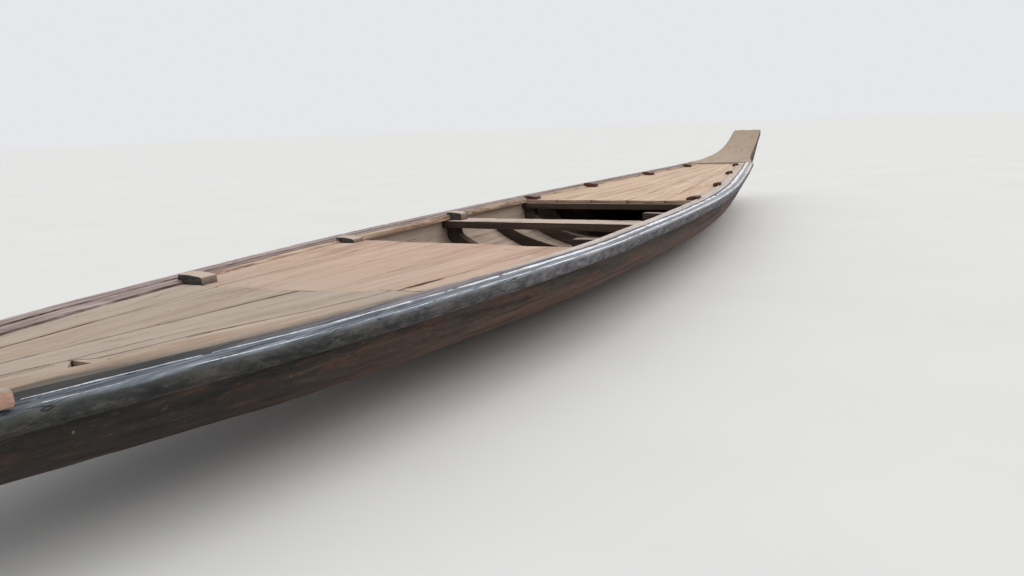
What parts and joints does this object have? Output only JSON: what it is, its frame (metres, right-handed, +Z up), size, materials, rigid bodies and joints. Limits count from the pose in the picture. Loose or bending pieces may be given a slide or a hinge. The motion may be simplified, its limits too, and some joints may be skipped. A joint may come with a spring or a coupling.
{
  "type": "dugout canoe",
  "caption": "Long narrow dugout canoe with a hollowed log hull, gunwale strakes, thwarts with carved heads, ribs, loose floor boards and raised end platforms",
  "frame": {"origin": "on the ground under the middle of the boat's length and breadth", "axes": "+X along the boat towards the bow, +Y to port, +Z up"},
  "size_m": [7, 1.0358, 0.497],
  "materials": {
    "dark_log": "dark brown, weathered",
    "weathered_wale": "blue-grey, worn, caulked with white",
    "reddish_inwale": "reddish brown, worn",
    "brown_thwart": "dark brown, dusty top",
    "dark_rib": "dark brown, matt",
    "grey_end_board": "grey, dusty",
    "tan_platform": "tan-grey, dusty",
    "beige_boards": "beige, dusty, matt",
    "pinkish_boards": "pinkish tan, dusty, matt",
    "tan_boards": "tan, dusty, matt"
  },
  "bodies": {
    "hull": {"hull": "dark_log", "wale_port": "weathered_wale", "wale_starboard": "weathered_wale", "inwale_port": "reddish_inwale", "inwale_starboard": "reddish_inwale", "thwart_0": "brown_thwart", "thwart_1": "brown_thwart", "thwart_2": "brown_thwart", "thwart_3": "brown_thwart", "thwart_4": "brown_thwart", "thwart_5": "brown_thwart", "thwart_6": "brown_thwart", "thwart_7": "brown_thwart", "rib_0": "dark_rib", "rib_1": "dark_rib", "rib_2": "dark_rib", "rib_3": "dark_rib", "rib_4": "dark_rib", "rib_5": "dark_rib", "rib_6": "dark_rib", "rib_7": "dark_rib", "rib_between_0": "dark_rib", "rib_between_1": "dark_rib", "rib_between_2": "dark_rib", "rib_between_3": "dark_rib", "rib_between_4": "dark_rib", "rib_between_5": "dark_rib", "rib_between_6": "dark_rib", "cross_board_stern": "grey_end_board", "platform_bow": "tan_platform", "platform_stern": "tan_platform"},
    "boards_aft": {"board_aft_1": "beige_boards", "board_aft_2": "beige_boards", "board_aft_3": "beige_boards", "board_aft_4": "beige_boards"},
    "boards_mid": {"board_mid_1": "pinkish_boards", "board_mid_2": "pinkish_boards", "board_mid_3": "pinkish_boards", "board_mid_4": "pinkish_boards", "board_mid_5": "pinkish_boards"},
    "boards_fore": {"board_fore_1": "tan_boards", "board_fore_2": "tan_boards", "board_fore_3": "tan_boards", "board_fore_4": "tan_boards", "board_fore_5": "tan_boards"}
  },
  "joints": [
    {"name": "lift_aft", "type": "slide", "parent": "hull", "child": "boards_aft", "axis": [0, 0, 1], "range_m": [0, 0.3]},
    {"name": "lift_mid", "type": "slide", "parent": "hull", "child": "boards_mid", "axis": [0, 0, 1], "range_m": [0, 0.3]},
    {"name": "lift_fore", "type": "slide", "parent": "hull", "child": "boards_fore", "axis": [0, 0, 1], "range_m": [0, 0.3]}
  ]
}
